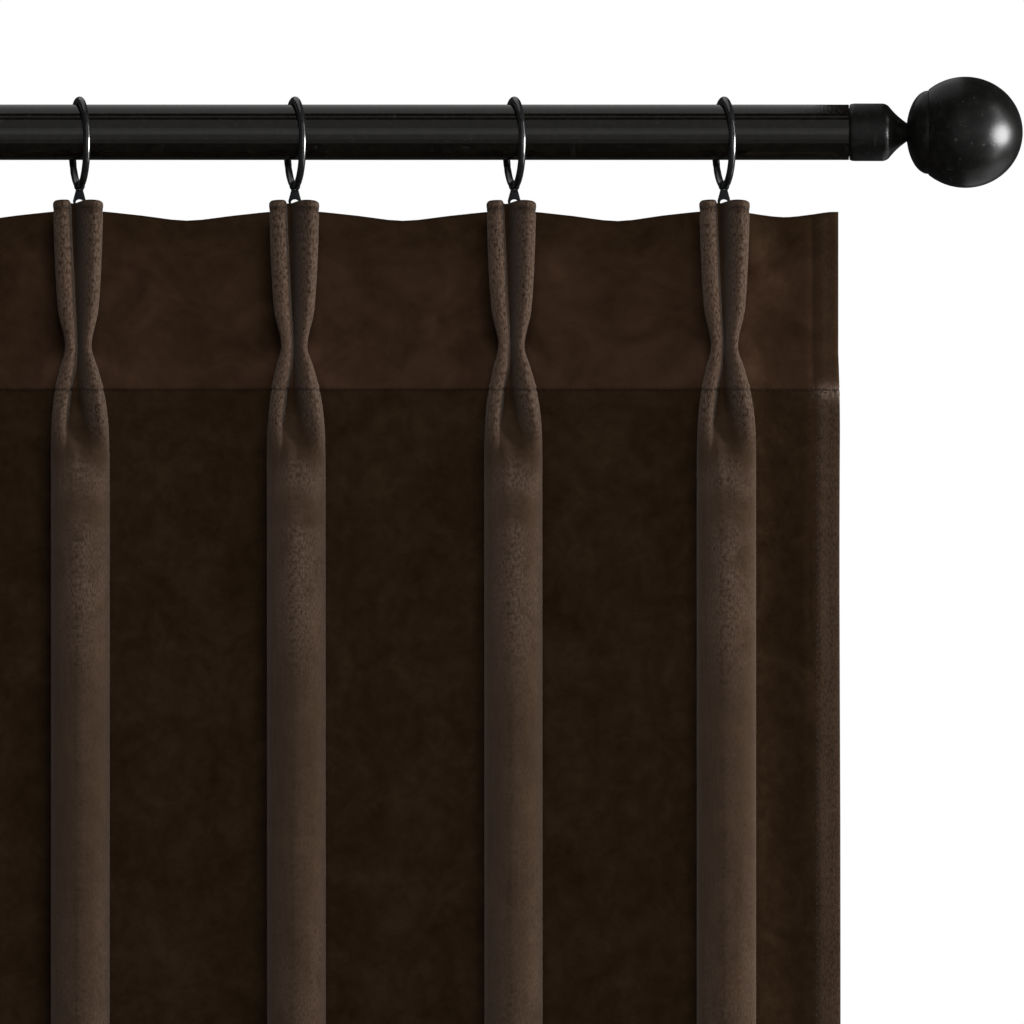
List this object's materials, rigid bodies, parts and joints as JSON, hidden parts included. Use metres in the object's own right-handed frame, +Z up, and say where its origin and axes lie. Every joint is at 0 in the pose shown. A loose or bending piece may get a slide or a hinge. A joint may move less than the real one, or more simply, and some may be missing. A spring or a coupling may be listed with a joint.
{
  "type": "pinch pleat curtain on a rod",
  "caption": "Dark brown velvet pinch pleat curtain, seven two-finger pleats, hanging by ring clips from a black 25 mm rod with ball finials.",
  "frame": {"origin": "on the rod's axis, half way along the rod", "axes": "+Z up, +X along the rod to the viewer's right, -Y out of the curtain's face into the room"},
  "size_m": [0.8644, 0.051, 2.1906],
  "materials": {
    "velvet": "soft cut pile, matt with a low sheen",
    "rod_paint": "satin black paint",
    "gloss_paint": "gloss black paint",
    "ring_paint": "semi-gloss black paint",
    "clip_paint": "dull black paint"
  },
  "bodies": {
    "root": {"curtain": "velvet", "rod": "rod_paint", "collar_left": "gloss_paint", "collar_right": "gloss_paint", "ball_left": "gloss_paint", "ball_right": "gloss_paint", "ring_1": "ring_paint", "ring_2": "ring_paint", "ring_3": "ring_paint", "ring_4": "ring_paint", "ring_5": "ring_paint", "ring_6": "ring_paint", "ring_7": "ring_paint", "clip_1": "clip_paint", "clip_2": "clip_paint", "clip_3": "clip_paint", "clip_4": "clip_paint", "clip_5": "clip_paint", "clip_6": "clip_paint", "clip_7": "clip_paint"}
  },
  "joints": []
}
